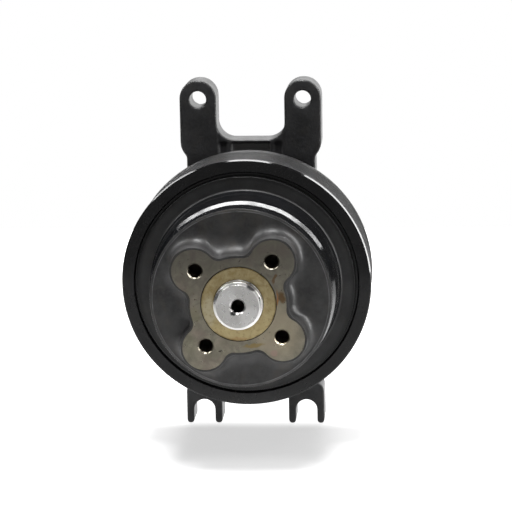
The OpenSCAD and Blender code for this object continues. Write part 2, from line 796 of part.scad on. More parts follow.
mounting_bracket();
bearing_nose();
nose_bolts();
output_shaft();
hub_key();
hub_sleeve();
hub_drum();
belt_pulley();
pulley_screws();
front_bearing_outer();
front_bearing_inner();
front_bearing_cage();
front_bearing_balls();
rear_bearing_outer();
rear_bearing_inner();
rear_bearing_cage();
rear_bearing_balls();
front_circlip();
rear_circlip();
wear_sleeve();
nose_seal();
locknut();
lock_washer();
drive_key();
drive_gear();
idler_gear();
front_cover();
gear_body();
rear_cover();
front_bearing_block();
rear_bearing_block();
bearing_bushes();
front_pressure_seal();
rear_pressure_seal();
front_body_seal();
rear_body_seal();
motor_shaft_seal();
seal_circlip();
dowel_pins();
through_bolts();
through_washers();
flange_bolts();
flange_washers();
drain_plug();
drain_seal();
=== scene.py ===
"""Looks for the gear motor with its bracket, belt pulley and four-lobed hub.

The frame is the CAD's: metres, X to the right, Z up, the hub facing -Y. A station is the
distance in front of the bracket's rear face, in millimetres, as in the CAD source.
"""

import json
import math

import bmesh
import bpy
import numpy as np
from mathutils import Matrix, Vector


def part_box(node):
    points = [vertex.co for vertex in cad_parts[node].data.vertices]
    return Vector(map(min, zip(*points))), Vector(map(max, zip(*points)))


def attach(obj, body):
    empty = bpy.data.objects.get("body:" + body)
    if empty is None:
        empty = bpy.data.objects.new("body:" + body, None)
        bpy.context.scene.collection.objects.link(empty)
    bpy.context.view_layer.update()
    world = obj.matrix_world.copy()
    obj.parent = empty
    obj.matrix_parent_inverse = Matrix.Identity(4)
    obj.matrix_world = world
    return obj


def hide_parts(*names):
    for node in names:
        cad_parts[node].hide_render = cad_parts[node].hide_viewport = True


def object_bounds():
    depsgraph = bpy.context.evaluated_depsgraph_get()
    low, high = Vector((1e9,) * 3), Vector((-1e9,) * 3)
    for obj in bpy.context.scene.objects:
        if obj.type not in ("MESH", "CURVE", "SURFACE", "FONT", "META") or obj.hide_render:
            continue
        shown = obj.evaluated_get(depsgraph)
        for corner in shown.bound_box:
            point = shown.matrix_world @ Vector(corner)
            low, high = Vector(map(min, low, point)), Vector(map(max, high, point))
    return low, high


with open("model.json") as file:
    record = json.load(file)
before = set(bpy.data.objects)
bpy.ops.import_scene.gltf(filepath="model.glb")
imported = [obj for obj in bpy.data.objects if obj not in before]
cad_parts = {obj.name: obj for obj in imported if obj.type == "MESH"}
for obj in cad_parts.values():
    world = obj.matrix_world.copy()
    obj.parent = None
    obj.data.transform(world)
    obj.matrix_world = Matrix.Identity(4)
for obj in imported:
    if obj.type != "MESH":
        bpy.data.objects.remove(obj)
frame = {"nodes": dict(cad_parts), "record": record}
cad_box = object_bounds()

MM = 0.001
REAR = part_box("mounting_bracket")[1].y
MOUNTS = {m["name"]: m for m in frame["record"]["mounts"]}
SHAFT = Vector((0, REAR, 0))
FORWARD = Vector((0, -1, 0))


def station_of(y):
    """Station in millimetres of a Y coordinate."""
    return (REAR - y) / MM


# ---- dimensions in millimetres; those that the frame doesn't hold are the CAD source's ----

boss_front = station_of(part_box("hub_drum")[0].y)
pulley_front = station_of(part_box("belt_pulley")[0].y)
pulley_rear = station_of(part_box("belt_pulley")[1].y)
pulley_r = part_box("belt_pulley")[1].x / MM
stub_front = station_of(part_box("output_shaft")[0].y)
shaft_rear = station_of(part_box("output_shaft")[1].y)
stub_r = MOUNTS["shaft_stub"]["dims"]["r_mm"]
sleeve_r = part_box("hub_sleeve")[1].x / MM
sleeve_rear = station_of(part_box("hub_sleeve")[1].y)
lobe_pcd = MOUNTS["hub_face_bolts"]["dims"]["pcd_mm"]
tap_r = MOUNTS["hub_face_bolts"]["dims"]["hole_r_mm"]
port_r = MOUNTS["port_right"]["dims"]["r_mm"]
motor_half_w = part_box("gear_body")[1].x / MM

drum_front = boss_front - 17.7
disc_front = pulley_front + 4
disc_rear = pulley_front - 10
disc_r = 86
lobe_turn = 45 + 6.8
lobe_r = 18.3
lobe_out = 1.0
waist_r = 38.2
lobe_fillet = 9
seat_r = stub_r + 0.25

# how far the cast boss sits off the machined centre, in metres
cast_shift = Vector((-0.3, 0, -1.1)) * MM


# ---- mesh helpers ----

def rounded(corners, steps=4, closed=True):
    """Path through corners (a, b) or (a, b, radius), with an arc at each corner that has a radius."""
    points = []
    count = len(corners)
    for i, corner in enumerate(corners):
        here = np.array(corner[:2], float)
        at_end = not closed and i in (0, count - 1)
        if len(corner) < 3 or at_end:
            points.append(here)
            continue
        back = np.array(corners[i - 1][:2], float) - here
        ahead = np.array(corners[(i + 1) % count][:2], float) - here
        back_len, ahead_len = np.linalg.norm(back), np.linalg.norm(ahead)
        back, ahead = back / back_len, ahead / ahead_len
        half = math.acos(max(-1.0, min(1.0, float(back @ ahead)))) / 2
        if abs(half - math.pi / 2) < 0.01:
            points.append(here)
            continue
        reach = min(corner[2] / math.tan(half), 0.48 * back_len, 0.48 * ahead_len)
        radius = reach * math.tan(half)
        middle = (back + ahead) / np.linalg.norm(back + ahead)
        centre = here + middle * radius / math.sin(half)
        start = here + back * reach - centre
        end = here + ahead * reach - centre
        a0 = math.atan2(start[1], start[0])
        sweep = (math.atan2(end[1], end[0]) - a0 + math.pi) % (2 * math.pi) - math.pi
        for k in range(steps + 1):
            a = a0 + sweep * k / steps
            points.append(centre + radius * np.array([math.cos(a), math.sin(a)]))
    return np.array(points)


def quads(rows, columns, loop=False):
    """Faces of a grid whose columns close round, and whose rows close too if it is a loop."""
    i, j = np.meshgrid(np.arange(rows if loop else rows - 1), np.arange(columns), indexing="ij")
    k, m = (i + 1) % rows, (j + 1) % columns
    return np.stack([i * columns + j, i * columns + m, k * columns + m, k * columns + j], -1).reshape(-1, 4)


def basis(axis):
    """Two unit vectors square to an axis; for an axis along Y the first one is +X."""
    w = Vector(axis).normalized()
    u = Vector((0, 0, 1)) if abs(w.x) > 0.9 else Vector((1, 0, 0))
    return u, w.cross(u), w


def around_axis(radii, heights, origin, axis):
    """Points of rings about an axis: radii is rows x columns in mm, heights is one per row in mm."""
    u, v, w = (np.array(d) for d in basis(axis))
    rows, columns = radii.shape
    turn = np.arange(columns) * 2 * math.pi / columns
    flat = radii[..., None] * (np.cos(turn)[:, None] * u + np.sin(turn)[:, None] * v)
    return (np.array(origin) + (flat + np.asarray(heights)[:, None, None] * w) * MM).reshape(-1, 3)


class Build:
    """Collects rings and faces, then becomes one piece of the object."""

    def __init__(self):
        self.points, self.faces, self.slots, self.count = [], [], [], 0

    def grid(self, points, rows, loop=False, slot=0):
        """Adds a grid of rings and gives back the index of its first point."""
        first = self.count
        columns = len(points) // rows
        self.points.append(np.asarray(points))
        made = quads(rows, columns, loop) + first
        self.faces.extend(made.tolist())
        self.slots.extend([slot] * len(made))
        self.count += len(points)
        return first

    def spin(self, path, origin=SHAFT, axis=FORWARD, columns=192, slot=0, loop=True):
        """Adds the surface that a path of (radius, height) makes about an axis."""
        path = np.asarray(path, float)
        radii = np.repeat(path[:, :1], columns, axis=1)
        return self.grid(around_axis(radii, path[:, 1], origin, axis), len(path), loop, slot)

    def piece(self, name, body, materials, replaces=(), sharp=38):
        """Makes the object, with its seams welded and its flat faces shaded flat."""
        mesh = bpy.data.meshes.new(name)
        mesh.from_pydata(np.concatenate(self.points).tolist(), [], self.faces)
        mesh.polygons.foreach_set("material_index", self.slots)
        work = bmesh.new()
        work.from_mesh(mesh)
        bmesh.ops.remove_doubles(work, verts=work.verts, dist=2e-6)
        bmesh.ops.recalc_face_normals(work, faces=work.faces)
        work.to_mesh(mesh)
        work.free()
        return finish_piece(mesh, name, body, materials, replaces, sharp)


def finish_piece(mesh, name, body, materials, replaces, sharp=38):
    """Links a mesh as a smooth-shaded piece that rides on a body and stands for CAD nodes."""
    for material in materials:
        mesh.materials.append(material)
    mesh.polygons.foreach_set("use_smooth", [True] * len(mesh.polygons))
    mesh.set_sharp_from_angle(angle=math.radians(sharp))
    obj = bpy.data.objects.new(name, mesh)
    bpy.context.scene.collection.objects.link(obj)
    normals = obj.modifiers.new("flat_faces", "WEIGHTED_NORMAL")
    normals.keep_sharp = True
    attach(obj, body)
    if replaces:
        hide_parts(*replaces)
    return obj


# ---- materials ----

class Finish:
    """One procedural material on a Principled surface, with lengths in millimetres."""

    def __init__(self, name):
        self.material = bpy.data.materials.new(name)
        self.material.use_nodes = True
        self.tree = self.material.node_tree
        self.tree.nodes.clear()
        self.surface = self.tree.nodes.new("ShaderNodeBsdfPrincipled")
        out = self.tree.nodes.new("ShaderNodeOutputMaterial")
        self.tree.links.new(self.surface.outputs[0], out.inputs["Surface"])
        self.place = self.tree.nodes.new("ShaderNodeTexCoord").outputs["Object"]
        self.normal = None

    def put(self, socket, value):
        """Gives a socket a link from another socket, or a plain value."""
        if isinstance(value, bpy.types.NodeSocket):
            self.tree.links.new(value, socket)
        else:
            socket.default_value = value

    def node(self, kind, inputs=(), **settings):
        """A new node with these settings and inputs."""
        made = self.tree.nodes.new(kind)
        for key, value in settings.items():
            setattr(made, key, value)
        for key, value in dict(inputs).items():
            self.put(made.inputs[key], value)
        return made

    def set(self, **inputs):
        """Sets the surface's own sockets, such as base_color or roughness."""
        for key, value in inputs.items():
            self.put(self.surface.inputs[key.replace("_", " ").title().replace("Ior", "IOR")], value)

    def noise(self, size, detail=3, rough=0.55, distortion=0.0, where=None):
        """Cloud noise whose features are about size mm across."""
        inputs = {"Vector": where or self.place, "Scale": 1 / (size * MM), "Detail": detail,
                  "Roughness": rough, "Distortion": distortion}
        return self.node("ShaderNodeTexNoise", inputs).outputs["Fac"]

    def ramp(self, value, low, high, start=0.0, end=1.0, smooth=False):
        """Maps low..high to start..end."""
        inputs = {"Value": value, "From Min": low, "From Max": high, "To Min": start, "To Max": end}
        kind = "SMOOTHSTEP" if smooth else "LINEAR"
        return self.node("ShaderNodeMapRange", inputs, interpolation_type=kind).outputs["Result"]

    def calc(self, operation, a, b=0.0):
        """One step of arithmetic on one or two values."""
        return self.node("ShaderNodeMath", {0: a, 1: b}, operation=operation).outputs[0]

    def mix(self, share, a, b):
        """Colour a blended towards colour b by share."""
        made = self.node("ShaderNodeMix", data_type="RGBA")
        for key, value in ((0, share), (6, a), (7, b)):
            self.put(made.inputs[key], (*value, 1) if isinstance(value, tuple) else value)
        return made.outputs[2]

    def bump(self, height, depth, strength=1.0):
        """Raises the surface by height times depth mm, over any bump before it."""
        inputs = {"Height": height, "Distance": depth * MM, "Strength": strength}
        if self.normal:
            inputs["Normal"] = self.normal
        self.normal = self.node("ShaderNodeBump", inputs).outputs["Normal"]
        self.put(self.surface.inputs["Normal"], self.normal)

    def radius(self):
        """Distance from the shaft axis, in millimetres."""
        flat = self.node("ShaderNodeVectorMath", {0: self.place, 1: (1, 0, 1)}, operation="MULTIPLY")
        length = self.node("ShaderNodeVectorMath", {0: flat.outputs[0]}, operation="LENGTH")
        return self.calc("DIVIDE", length.outputs["Value"], MM)

    def height(self):
        """Height above the shaft axis, in millimetres."""
        return self.calc("DIVIDE", self.node("ShaderNodeSeparateXYZ", {0: self.place}).outputs["Z"], MM)

    def blot(self, x, z, half_x, half_z, turn=0.0):
        """Mask of a ragged oval on the hub's face: its centre and half sizes in mm, turned in degrees."""
        size, reach = 5 * MM, 4.2 * MM
        wander = self.node("ShaderNodeTexNoise", {"Vector": self.place, "Scale": 1 / size, "Detail": 4})
        push = self.node("ShaderNodeVectorMath", {0: wander.outputs["Color"], 1: (0.5, 0.5, 0.5)},
                         operation="SUBTRACT")
        push = self.node("ShaderNodeVectorMath", {0: push.outputs[0]}, operation="SCALE")
        push.inputs["Scale"].default_value = reach
        moved = self.node("ShaderNodeVectorMath", {0: self.place, 1: push.outputs[0]}, operation="ADD")
        inputs = {"Vector": moved.outputs[0], "Location": (x * MM, 0, z * MM),
                  "Rotation": (0, math.radians(-turn), 0), "Scale": (half_x * MM, 1, half_z * MM)}
        local = self.node("ShaderNodeMapping", inputs, vector_type="TEXTURE")
        flat = self.node("ShaderNodeVectorMath", {0: local.outputs[0], 1: (1, 0, 1)}, operation="MULTIPLY")
        length = self.node("ShaderNodeVectorMath", {0: flat.outputs[0]}, operation="LENGTH")
        return self.ramp(length.outputs["Value"], 1.15, 0.55, smooth=True)

    def edges(self, radius):
        """Mask of the edges, within about radius mm of them."""
        bevel = self.node("ShaderNodeBevel", {"Radius": radius * MM}, samples=6)
        true = self.node("ShaderNodeNewGeometry").outputs["Normal"]
        dot = self.node("ShaderNodeVectorMath", {0: bevel.outputs[0], 1: true}, operation="DOT_PRODUCT")
        return self.ramp(dot.outputs["Value"], 0.985, 0.90, smooth=True)


def paint(name, colour, rough, grain=0.9, depth=0.05, wear_share=0.25, mottle=1.0, rim=None, groove=None,
          pocket=None):
    """Painted casting: mottled colour, a pebbled skin, brown dust in patches and rubbed edges.

    A rim is the radius in mm about the shaft axis of an edge along which a thin paler line is painted all
    the way round, as a painted highlight. A groove is the radius in mm of a groove; from its inner side the
    colour is painted near black towards it, as painted shade in the groove. A pocket is the Y of the floor of
    the bracket's middle pocket, which is painted paler, as painted light in that shaded recess.
    """
    painted_rim_highlight, bare = (0.16, 0.16, 0.165), (0.30, 0.29, 0.28)
    groove_painted_shade, pocket_painted_light = (0.001, 0.001, 0.001), (0.15, 0.148, 0.146)
    f = Finish(name)
    patches = f.noise(22, 4)
    fine = f.noise(2.2, 5, 0.65)
    dark = tuple(c * (1 - 0.28 * mottle) for c in colour)
    light = tuple(min(1, c * (1 + 0.45 * mottle) + 0.002) for c in colour)
    tone = f.mix(f.ramp(patches, 0.35, 0.68), dark, light)
    tone = f.mix(f.ramp(fine, 0.45, 0.75, 0, 0.5), tone, light)
    dust = tuple(c * k + 0.006 * mottle for c, k in zip(colour, (1.5, 1.3, 1.05)))
    tone = f.mix(f.ramp(f.noise(13, 5, 0.6, 0.5), 0.50, 0.72, 0, 0.5), tone, dust)
    # painted highlight: a thin paler line all the way round this radius, for the light that the drum face's
    # edge catches
    if rim:
        away = f.calc("ABSOLUTE", f.calc("SUBTRACT", f.radius(), rim))
        line = f.ramp(away, 0.42, 0.12, smooth=True)
        line = f.calc("MULTIPLY", line, f.ramp(f.noise(5, 4), 0.36, 0.60, 0.35, 0.9))
        tone = f.mix(line, tone, painted_rim_highlight)
    rubbed = f.calc("MULTIPLY", f.edges(0.7), f.ramp(f.noise(4, 5, 0.7), 0.52, 0.66, 0, wear_share))
    tone = f.mix(rubbed, tone, bare)
    # painted shade: the colour goes near black over the last few mm inside the groove's radius, for the shade
    # in the groove
    if groove:
        tone = f.mix(f.ramp(f.radius(), groove - 5, groove - 1, 0, 0.8, smooth=True), tone, groove_painted_shade)
    # painted light: the floor of the bracket's middle pocket is painted paler, to lift the shade in that
    # recess
    if pocket:
        place = f.node("ShaderNodeSeparateXYZ", {0: f.place}).outputs
        on_floor = f.ramp(f.calc("ABSOLUTE", f.calc("SUBTRACT", place["Y"], pocket)), 2.5 * MM, 1.5 * MM)
        between = f.ramp(f.calc("ABSOLUTE", place["X"]), 17 * MM, 15 * MM)
        below = f.ramp(f.height(), 100, 98.5)
        tone = f.mix(f.calc("MULTIPLY", f.calc("MULTIPLY", on_floor, between), below), tone, pocket_painted_light)
    f.set(base_color=tone, metallic=0.0, ior=1.38)
    f.set(roughness=f.ramp(f.noise(9, 4, 0.6), 0.3, 0.7, rough - 0.04, rough + 0.05))
    f.bump(f.noise(grain * 2.6, 3, 0.5), depth * 2.0, 0.5)
    f.bump(f.noise(grain, 2, 0.5), depth, 0.6)
    return f.material


def metal(name, colour, rough, marks="turned", mark_depth=0.004, stain=None, pitch=0.35, tarnish=0.25):
    """Bare metal with turning rings or ground lines, patchy tarnish and rubbed bright edges."""
    f = Finish(name)
    cloudy = f.noise(7, 5, 0.65, 0.4)
    dull = stain or tuple(c * 0.62 for c in colour)
    tone = f.mix(f.ramp(cloudy, 0.42, 0.72, 0, tarnish), colour, dull)
    tone = f.mix(f.ramp(f.noise(0.7, 3), 0.4, 0.75, 0, 0.18), tone, dull)
    bright = tuple(min(1, c * 1.15 + 0.03) for c in colour)
    tone = f.mix(f.calc("MULTIPLY", f.edges(0.35), 0.5), tone, bright)
    f.set(base_color=tone, metallic=1.0)
    f.set(roughness=f.ramp(f.noise(3, 4, 0.6), 0.3, 0.7, rough - 0.06, rough + 0.08))
    if marks == "turned":
        wave = f.calc("SINE", f.calc("MULTIPLY", f.radius(), 2 * math.pi / pitch))
        f.bump(wave, mark_depth, 0.6)
    else:
        lines = f.node("ShaderNodeMapping", {"Vector": f.place, "Scale": (1, 0.04, 1)})
        f.bump(f.noise(0.3, 2, 0.5, where=lines.outputs[0]), mark_depth, 0.6)
    f.bump(f.noise(1.2, 3), mark_depth * 2, 0.35)
    return f.material


def rubber(name):
    """Matte rubber with a dusty bloom and a fine moulded grain."""
    f = Finish(name)
    tone = f.mix(f.ramp(f.noise(5, 4), 0.4, 0.75, 0, 0.5), (0.02, 0.02, 0.021), (0.06, 0.058, 0.055))
    f.set(base_color=tone, metallic=0.0)
    f.set(roughness=f.ramp(f.noise(2, 3), 0.3, 0.7, 0.6, 0.8))
    f.bump(f.noise(0.4, 2), 0.02, 0.4)
    return f.material


def shaft_end(name):
    """Finely turned bright steel: faint rings, a thin film here and there, a painted radial sheen and a
    smudge on the upper right.
    """
    f = Finish(name)
    clean, filmed = (0.62, 0.61, 0.595), (0.50, 0.49, 0.47)
    tone = f.mix(f.ramp(f.noise(6, 4, 0.6, 0.4), 0.35, 0.75, 0, 0.35), clean, filmed)
    ring = f.calc("SINE", f.calc("MULTIPLY", f.radius(), 2 * math.pi / 0.45))
    tone = f.mix(f.calc("MULTIPLY", f.calc("ADD", ring, 1.0), 0.06), tone, (0.42, 0.41, 0.40))
    # painted reflection: a radial sheen, lighter in two opposite directions about the axis
    across = f.node("ShaderNodeSeparateXYZ", {0: f.place})
    angle = f.calc("ARCTAN2", across.outputs["Z"], across.outputs["X"])
    painted_sheen = f.calc("COSINE", f.calc("MULTIPLY", f.calc("ADD", angle, math.radians(42)), 2))
    tone = f.mix(f.ramp(painted_sheen, -0.2, 1.0, 0, 0.6, smooth=True), tone, (0.82, 0.81, 0.80))
    tone = f.mix(f.calc("MULTIPLY", f.blot(10.2, 13.4, 4.2, 1.9, -32), 0.9), tone, (0.045, 0.042, 0.045))
    tone = f.mix(f.calc("MULTIPLY", f.blot(-3.4, -5.4, 2.9, 2.4), 0.95), tone, (0.012, 0.012, 0.012))
    f.set(base_color=tone, metallic=1.0)
    f.set(roughness=f.ramp(f.noise(3, 4, 0.6), 0.3, 0.7, 0.25, 0.34))
    f.bump(f.noise(2.0, 2), 0.004, 0.4)
    return f.material


def machined_face(name):
    """The lobed face: milled iron with a thin oily film, rust-brown and yellow stains and a few nicks,
    painted shade darker towards the top and a painted patch of light at the lower right.
    """
    f = Finish(name)
    cloudy = f.noise(9, 5, 0.62, 0.6)
    tone = f.mix(f.ramp(cloudy, 0.34, 0.68), (0.182, 0.168, 0.130), (0.300, 0.276, 0.216))
    tone = f.mix(f.ramp(f.noise(16, 3, 0.5), 0.48, 0.72, 0, 0.45), tone, (0.225, 0.165, 0.148))
    tone = f.mix(f.ramp(f.noise(19, 3, 0.5, 0.3), 0.52, 0.74, 0, 0.40), tone, (0.190, 0.195, 0.120))
    tone = f.mix(f.ramp(f.noise(1.1, 4, 0.7), 0.55, 0.8, 0, 0.45), tone, (0.085, 0.076, 0.062))
    # painted shade: the face is made darker towards the top, for the dimmer light it reflects there
    tone = f.mix(f.ramp(f.height(), -4, 34, 0, 0.50), tone, (0.070, 0.068, 0.064))
    # painted light: a large paler patch at the lower right, for the brighter floor reflected there
    tone = f.mix(f.calc("MULTIPLY", f.blot(27, -20, 20, 24, 30), 0.55), tone, (0.400, 0.345, 0.245))
    brown, rust, yellow = (0.115, 0.060, 0.022), (0.300, 0.120, 0.035), (0.260, 0.190, 0.075)
    for x, z, half_x, half_z, turn, colour, share in (
            (32.5, 5.2, 3.0, 5.2, 8, brown, 0.80),
            (29.2, 4.0, 0.9, 7.0, 0, rust, 0.75),
            (27.2, 19.4, 1.3, 4.4, -22, brown, 0.70),
            (11.0, -31.8, 9.0, 1.7, 7, yellow, 0.80),
            (26.5, -37.7, 3.2, 2.8, 0, (0.360, 0.235, 0.205), 0.6),
            (-33.0, -8.0, 4.0, 7.0, 15, (0.205, 0.190, 0.120), 0.5),
            (-14.7, -36.1, 1.5, 0.7, 10, (0.030, 0.026, 0.022), 0.9)):
        tone = f.mix(f.calc("MULTIPLY", f.blot(x, z, half_x, half_z, turn), share), tone, colour)
    f.set(base_color=tone, metallic=0.85)
    f.set(roughness=f.ramp(f.noise(5, 4, 0.6), 0.3, 0.7, 0.26, 0.36))
    swirl = f.calc("SINE", f.calc("MULTIPLY", f.radius(), 2 * math.pi / 2.1))
    f.bump(swirl, 0.005, 0.4)
    f.bump(f.noise(2.2, 2), 0.010, 0.4)
    return f.material


def sleeve_face(name):
    """The turned sleeve: tan yellow passivation, painted paler lower down as painted light, and spotted
    orange-brown lower down.
    """
    f = Finish(name)
    tone = f.mix(f.ramp(f.noise(6, 4, 0.6, 0.5), 0.35, 0.7), (0.310, 0.240, 0.112), (0.460, 0.385, 0.218))
    # painted light: paler towards the bottom, where more light falls than under the stub above
    tone = f.mix(f.ramp(f.height(), 6, -20, 0, 0.55), tone, (0.600, 0.490, 0.260))
    tone = f.mix(f.calc("MULTIPLY", f.blot(-22, -5, 6, 13), 0.6), tone, (0.520, 0.480, 0.345))
    tone = f.mix(f.ramp(f.noise(2.6, 4, 0.7), 0.52, 0.68, 0, 0.45), tone, (0.210, 0.130, 0.045))
    tone = f.mix(f.calc("MULTIPLY", f.blot(0, -27, 11, 1.6, 0), 0.4), tone, (0.400, 0.210, 0.080))
    line = f.ramp(f.radius(), sleeve_r - 1.3, sleeve_r - 0.5)
    line = f.calc("MULTIPLY", line, f.ramp(f.noise(8, 3), 0.35, 0.6))
    tone = f.mix(f.calc("MULTIPLY", line, 0.7), tone, (0.100, 0.065, 0.022))
    f.set(base_color=tone, metallic=0.9)
    f.set(roughness=f.ramp(f.noise(3, 4, 0.6), 0.3, 0.7, 0.30, 0.46))
    f.bump(f.calc("SINE", f.calc("MULTIPLY", f.radius(), 2 * math.pi / 1.7)), 0.004, 0.5)
    return f.material


pocket_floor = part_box("mounting_bracket")[0].y + 4 * MM
black_cast = paint("black_cast", (0.021, 0.021, 0.022), 0.32, grain=1.1, depth=0.17, mottle=1.5,
                   pocket=pocket_floor)
hub_black = paint("hub_black", (0.041, 0.0404, 0.0406), 0.40, grain=1.3, depth=0.07, wear_share=0.7,
                  mottle=1.3, rim=67.1)
drum_gloss = paint("drum_gloss", (0.006, 0.0063, 0.0076), 0.15, grain=1.6, depth=0.010, wear_share=0.15)
disc_black = paint("disc_black", (0.018, 0.018, 0.0185), 0.42, grain=1.2, depth=0.06, wear_share=0.15,
                   groove=disc_r)
pulley_black = paint("pulley_black", (0.006, 0.006, 0.0065), 0.09, grain=0.6, depth=0.001, wear_share=0.10)
belt_track = paint("belt_track", (0.030, 0.030, 0.031), 0.42, grain=0.7, depth=0.02, wear_share=0.30)
motor_grey = paint("motor_grey", (0.040, 0.043, 0.047), 0.42, grain=1.0, depth=0.08)
nose_grey = paint("nose_grey", (0.085, 0.086, 0.090), 0.46, grain=1.2, depth=0.06)
turned_steel = metal("turned_steel", (0.58, 0.575, 0.56), 0.26, mark_depth=0.006, pitch=0.32)
thread_steel = metal("thread_steel", (0.12, 0.10, 0.085), 0.42, stain=(0.05, 0.035, 0.025))
bearing_steel = metal("bearing_steel", (0.68, 0.69, 0.70), 0.14, mark_depth=0.001, tarnish=0.1)
brass = metal("brass", (0.60, 0.43, 0.17), 0.30, stain=(0.33, 0.22, 0.09))
gear_steel = metal("gear_steel", (0.42, 0.43, 0.45), 0.28, marks="ground", mark_depth=0.002)
black_oxide = metal("black_oxide", (0.055, 0.055, 0.060), 0.36, mark_depth=0.002, stain=(0.03, 0.028, 0.028))
zinc = metal("zinc", (0.40, 0.41, 0.44), 0.38, mark_depth=0.002, stain=(0.28, 0.27, 0.23))
spring = metal("spring", (0.12, 0.12, 0.135), 0.34, marks="ground", mark_depth=0.002)
alloy = metal("alloy", (0.62, 0.62, 0.60), 0.34, mark_depth=0.003)
bronze = metal("bronze", (0.46, 0.29, 0.14), 0.40, stain=(0.24, 0.14, 0.07))
copper = metal("copper", (0.60, 0.28, 0.16), 0.36, stain=(0.32, 0.16, 0.09))
seal_black = rubber("seal_black")
lobed_face = machined_face("lobed_face")
yellow_sleeve = sleeve_face("yellow_sleeve")
shaft_steel = shaft_end("shaft_steel")
# painted shade: near black for the walls of the shaft's deep centre hole, for the shade inside it
oily_dark = metal("oily_dark", (0.045, 0.042, 0.038), 0.35, stain=(0.02, 0.018, 0.015))

# what the CAD nodes that still show are covered with, by material slot
SLOT_FINISH = {
    "black_cast": black_cast, "black_steel": pulley_black, "grey_cast": nose_grey,
    "motor_paint": motor_grey, "turned_steel": turned_steel, "passivated_steel": yellow_sleeve,
    "bearing_steel": bearing_steel, "brass_cage": brass, "gear_steel": gear_steel,
    "fastener_steel": black_oxide, "plated_steel": zinc, "spring_steel": spring,
    "block_alloy": alloy, "bush_bronze": bronze, "seal_rubber": seal_black, "copper_ring": copper,
}


# ---- hub drum ----

def lobe_edge(degrees, lobe, waist, blend):
    """Polar radius of the lobed outline: lobe arcs joined to a round waist by hollow fillets."""
    pitch = lobe_pcd / 2 + lobe_out
    a = np.abs((degrees + 45) % 90 - 45)
    reach = waist + blend
    tilt = math.degrees(math.acos((pitch ** 2 + reach ** 2 - (lobe + blend) ** 2) / (2 * pitch * reach)))
    t = math.radians(tilt)
    meet_x = pitch + (reach * math.cos(t) - pitch) * lobe / (lobe + blend)
    meet_z = reach * math.sin(t) * lobe / (lobe + blend)
    swap = math.degrees(math.atan2(meet_z, meet_x))
    r = np.radians(a)
    on_lobe = pitch * np.cos(r) + np.sqrt(np.maximum(0, lobe ** 2 - (pitch * np.sin(r)) ** 2))
    on_fillet = reach * np.cos(r - t) - np.sqrt(np.maximum(0, blend ** 2 - (reach * np.sin(r - t)) ** 2))
    return np.where(a < swap, on_lobe, np.where(a < tilt, on_fillet, waist))


def soft_min(a, b, width):
    """The smaller of a and b, with the change from one to the other rounded over width."""
    share = np.clip(0.5 + 0.5 * (b - a) / width, 0, 1)
    return a * share + b * (1 - share) - width * share * (1 - share)


def threaded_rows(radius, depth, pitch, height, columns):
    """Ring radii and heights of a tapped hole below a countersink, from a face at height."""
    start = 1.1
    per_pitch = 6
    rows = int((depth - start) / pitch * per_pitch)
    drop = start + np.arange(rows) * pitch / per_pitch
    turn = np.arange(columns) / columns
    phase = (drop[:, None] / pitch + turn) % 1
    groove = 0.48 * pitch * np.minimum(1, np.abs(1 - 2 * phase) * 1.3)
    fade = np.clip((drop[:, None] - start) / pitch, 0, 1)
    radii = radius + groove * fade
    return radii, height - drop


HOLE_COLUMNS = 48


def tapped_hole(build, radius, depth, pitch, height, origin, axis, slot, mouth_slot):
    """Adds a countersunk, threaded blind hole and gives back the index of its mouth ring."""
    countersink = 0.95
    radii, heights = threaded_rows(radius, depth, pitch, height, HOLE_COLUMNS)
    mouth = np.full((1, HOLE_COLUMNS), radius + countersink)
    floor = np.array([[radius * 0.98], [radius * 0.5], [0.0]]) * np.ones(HOLE_COLUMNS)
    low = heights[-1]
    radii = np.concatenate([mouth, radii, floor])
    heights = np.concatenate([[height], heights, [low - 0.6, low - radius * 0.35, low - radius * 0.6]])
    first = build.grid(around_axis(radii, heights, origin, axis), len(radii), slot=slot)
    start = len(build.slots) - (len(radii) - 1) * HOLE_COLUMNS
    build.slots[start:start + HOLE_COLUMNS] = [mouth_slot] * HOLE_COLUMNS
    return first


def close_face(build, loops, normal, slot):
    """Fills the flat face between an outer ring of points and the rings inside it."""
    points = np.concatenate(build.points)
    work = bmesh.new()
    back = []
    edges = []
    for first, count in loops:
        ring = [work.verts.new(points[first + k]) for k in range(count)]
        back.extend(first + k for k in range(count))
        edges.extend(work.edges.new((ring[k], ring[(k + 1) % count])) for k in range(count))
    work.verts.index_update()
    made = bmesh.ops.triangle_fill(work, use_beauty=True, use_dissolve=False, edges=edges, normal=normal)
    faces = [g for g in made["geom"] if isinstance(g, bmesh.types.BMFace)]
    for face in faces:
        build.faces.append([back[v.index] for v in face.verts])
        build.slots.append(slot)
    work.free()


